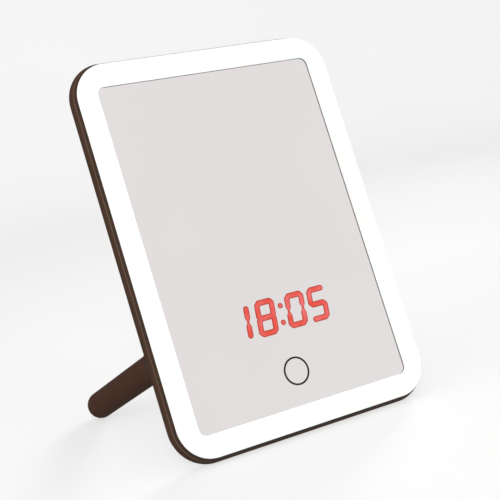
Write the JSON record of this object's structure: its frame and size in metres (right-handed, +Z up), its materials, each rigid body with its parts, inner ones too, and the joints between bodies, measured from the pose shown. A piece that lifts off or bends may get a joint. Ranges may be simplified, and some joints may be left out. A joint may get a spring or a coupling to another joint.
{
  "type": "desk lamp with mirror",
  "caption": "Slim leaning mirror with a lit white border, a red clock and a touch ring behind its glass, in a dark brown case with folding round legs.",
  "frame": {"origin": "middle of the footprint's box, on the table", "axes": "+Z up, -Y out of the mirror's front, +X to the right of a person facing the mirror"},
  "size_m": [0.152, 0.1318, 0.1954],
  "materials": {
    "case": "fine satin, dark brown moulded plastic",
    "leg": "satin, dark brown moulded plastic",
    "opal": "opal white, lit from behind",
    "mirror": "half-silvered glass",
    "digits": "lit red",
    "print": "printed dark grey line",
    "tray": "white moulded plastic",
    "guide": "clear acrylic",
    "lights": "pale yellow phosphor",
    "tape": "double-sided foam tape",
    "black": "black moulded plastic",
    "board": "green circuit board",
    "steel": "plated steel",
    "foil": "copper foil",
    "cell": "foil pouch",
    "leads": "insulated wire"
  },
  "bodies": {
    "panel": {"rear_shell": "case", "front_bezel": "case", "left_bracket": "case", "right_bracket": "case", "light_diffuser": "opal", "mirror_glass": "mirror", "clock_digits": "digits", "touch_ring": "print", "inner_tray": "tray", "reflector_sheet": "tray", "display_ribbon": "tray", "led_strip_left": "tray", "led_strip_right": "tray", "led_strip_top": "tray", "led_strip_bottom": "tray", "light_guide": "guide", "led_chips": "lights", "mirror_tape": "tape", "battery_tape": "tape", "display_block": "black", "board_chips": "black", "usb_tongue": "black", "left_washers": "black", "right_washers": "black", "main_board": "board", "usb_socket": "steel", "case_screws": "steel", "board_screws": "steel", "bracket_screws": "steel", "dome_contacts": "steel", "left_hinge_pin": "steel", "right_hinge_pin": "steel", "touch_sensor": "foil", "battery": "cell", "battery_leads": "leads"},
    "left_leg": {"left_leg": "leg"},
    "right_leg": {"right_leg": "leg"},
    "set_button": {"set_button": "black"},
    "up_button": {"up_button": "black"},
    "down_button": {"down_button": "black"}
  },
  "joints": [
    {"name": "left_leg_fold", "type": "hinge", "parent": "panel", "child": "left_leg", "pos_m": [-0.062, -0.03117, 0.04756], "axis": [1, 0, 0], "range_deg": [0, 95]},
    {"name": "right_leg_fold", "type": "hinge", "parent": "panel", "child": "right_leg", "pos_m": [0.062, -0.03117, 0.04756], "axis": [1, 0, 0], "range_deg": [0, 95]},
    {"name": "set_button_press", "type": "slide", "parent": "panel", "child": "set_button", "axis": [0, -0.9461, 0.3239], "range_m": [0, 0.00035], "stiffness_N_per_m": 3000},
    {"name": "up_button_press", "type": "slide", "parent": "panel", "child": "up_button", "axis": [0, -0.9461, 0.3239], "range_m": [0, 0.00035], "stiffness_N_per_m": 3000},
    {"name": "down_button_press", "type": "slide", "parent": "panel", "child": "down_button", "axis": [0, -0.9461, 0.3239], "range_m": [0, 0.00035], "stiffness_N_per_m": 3000}
  ]
}
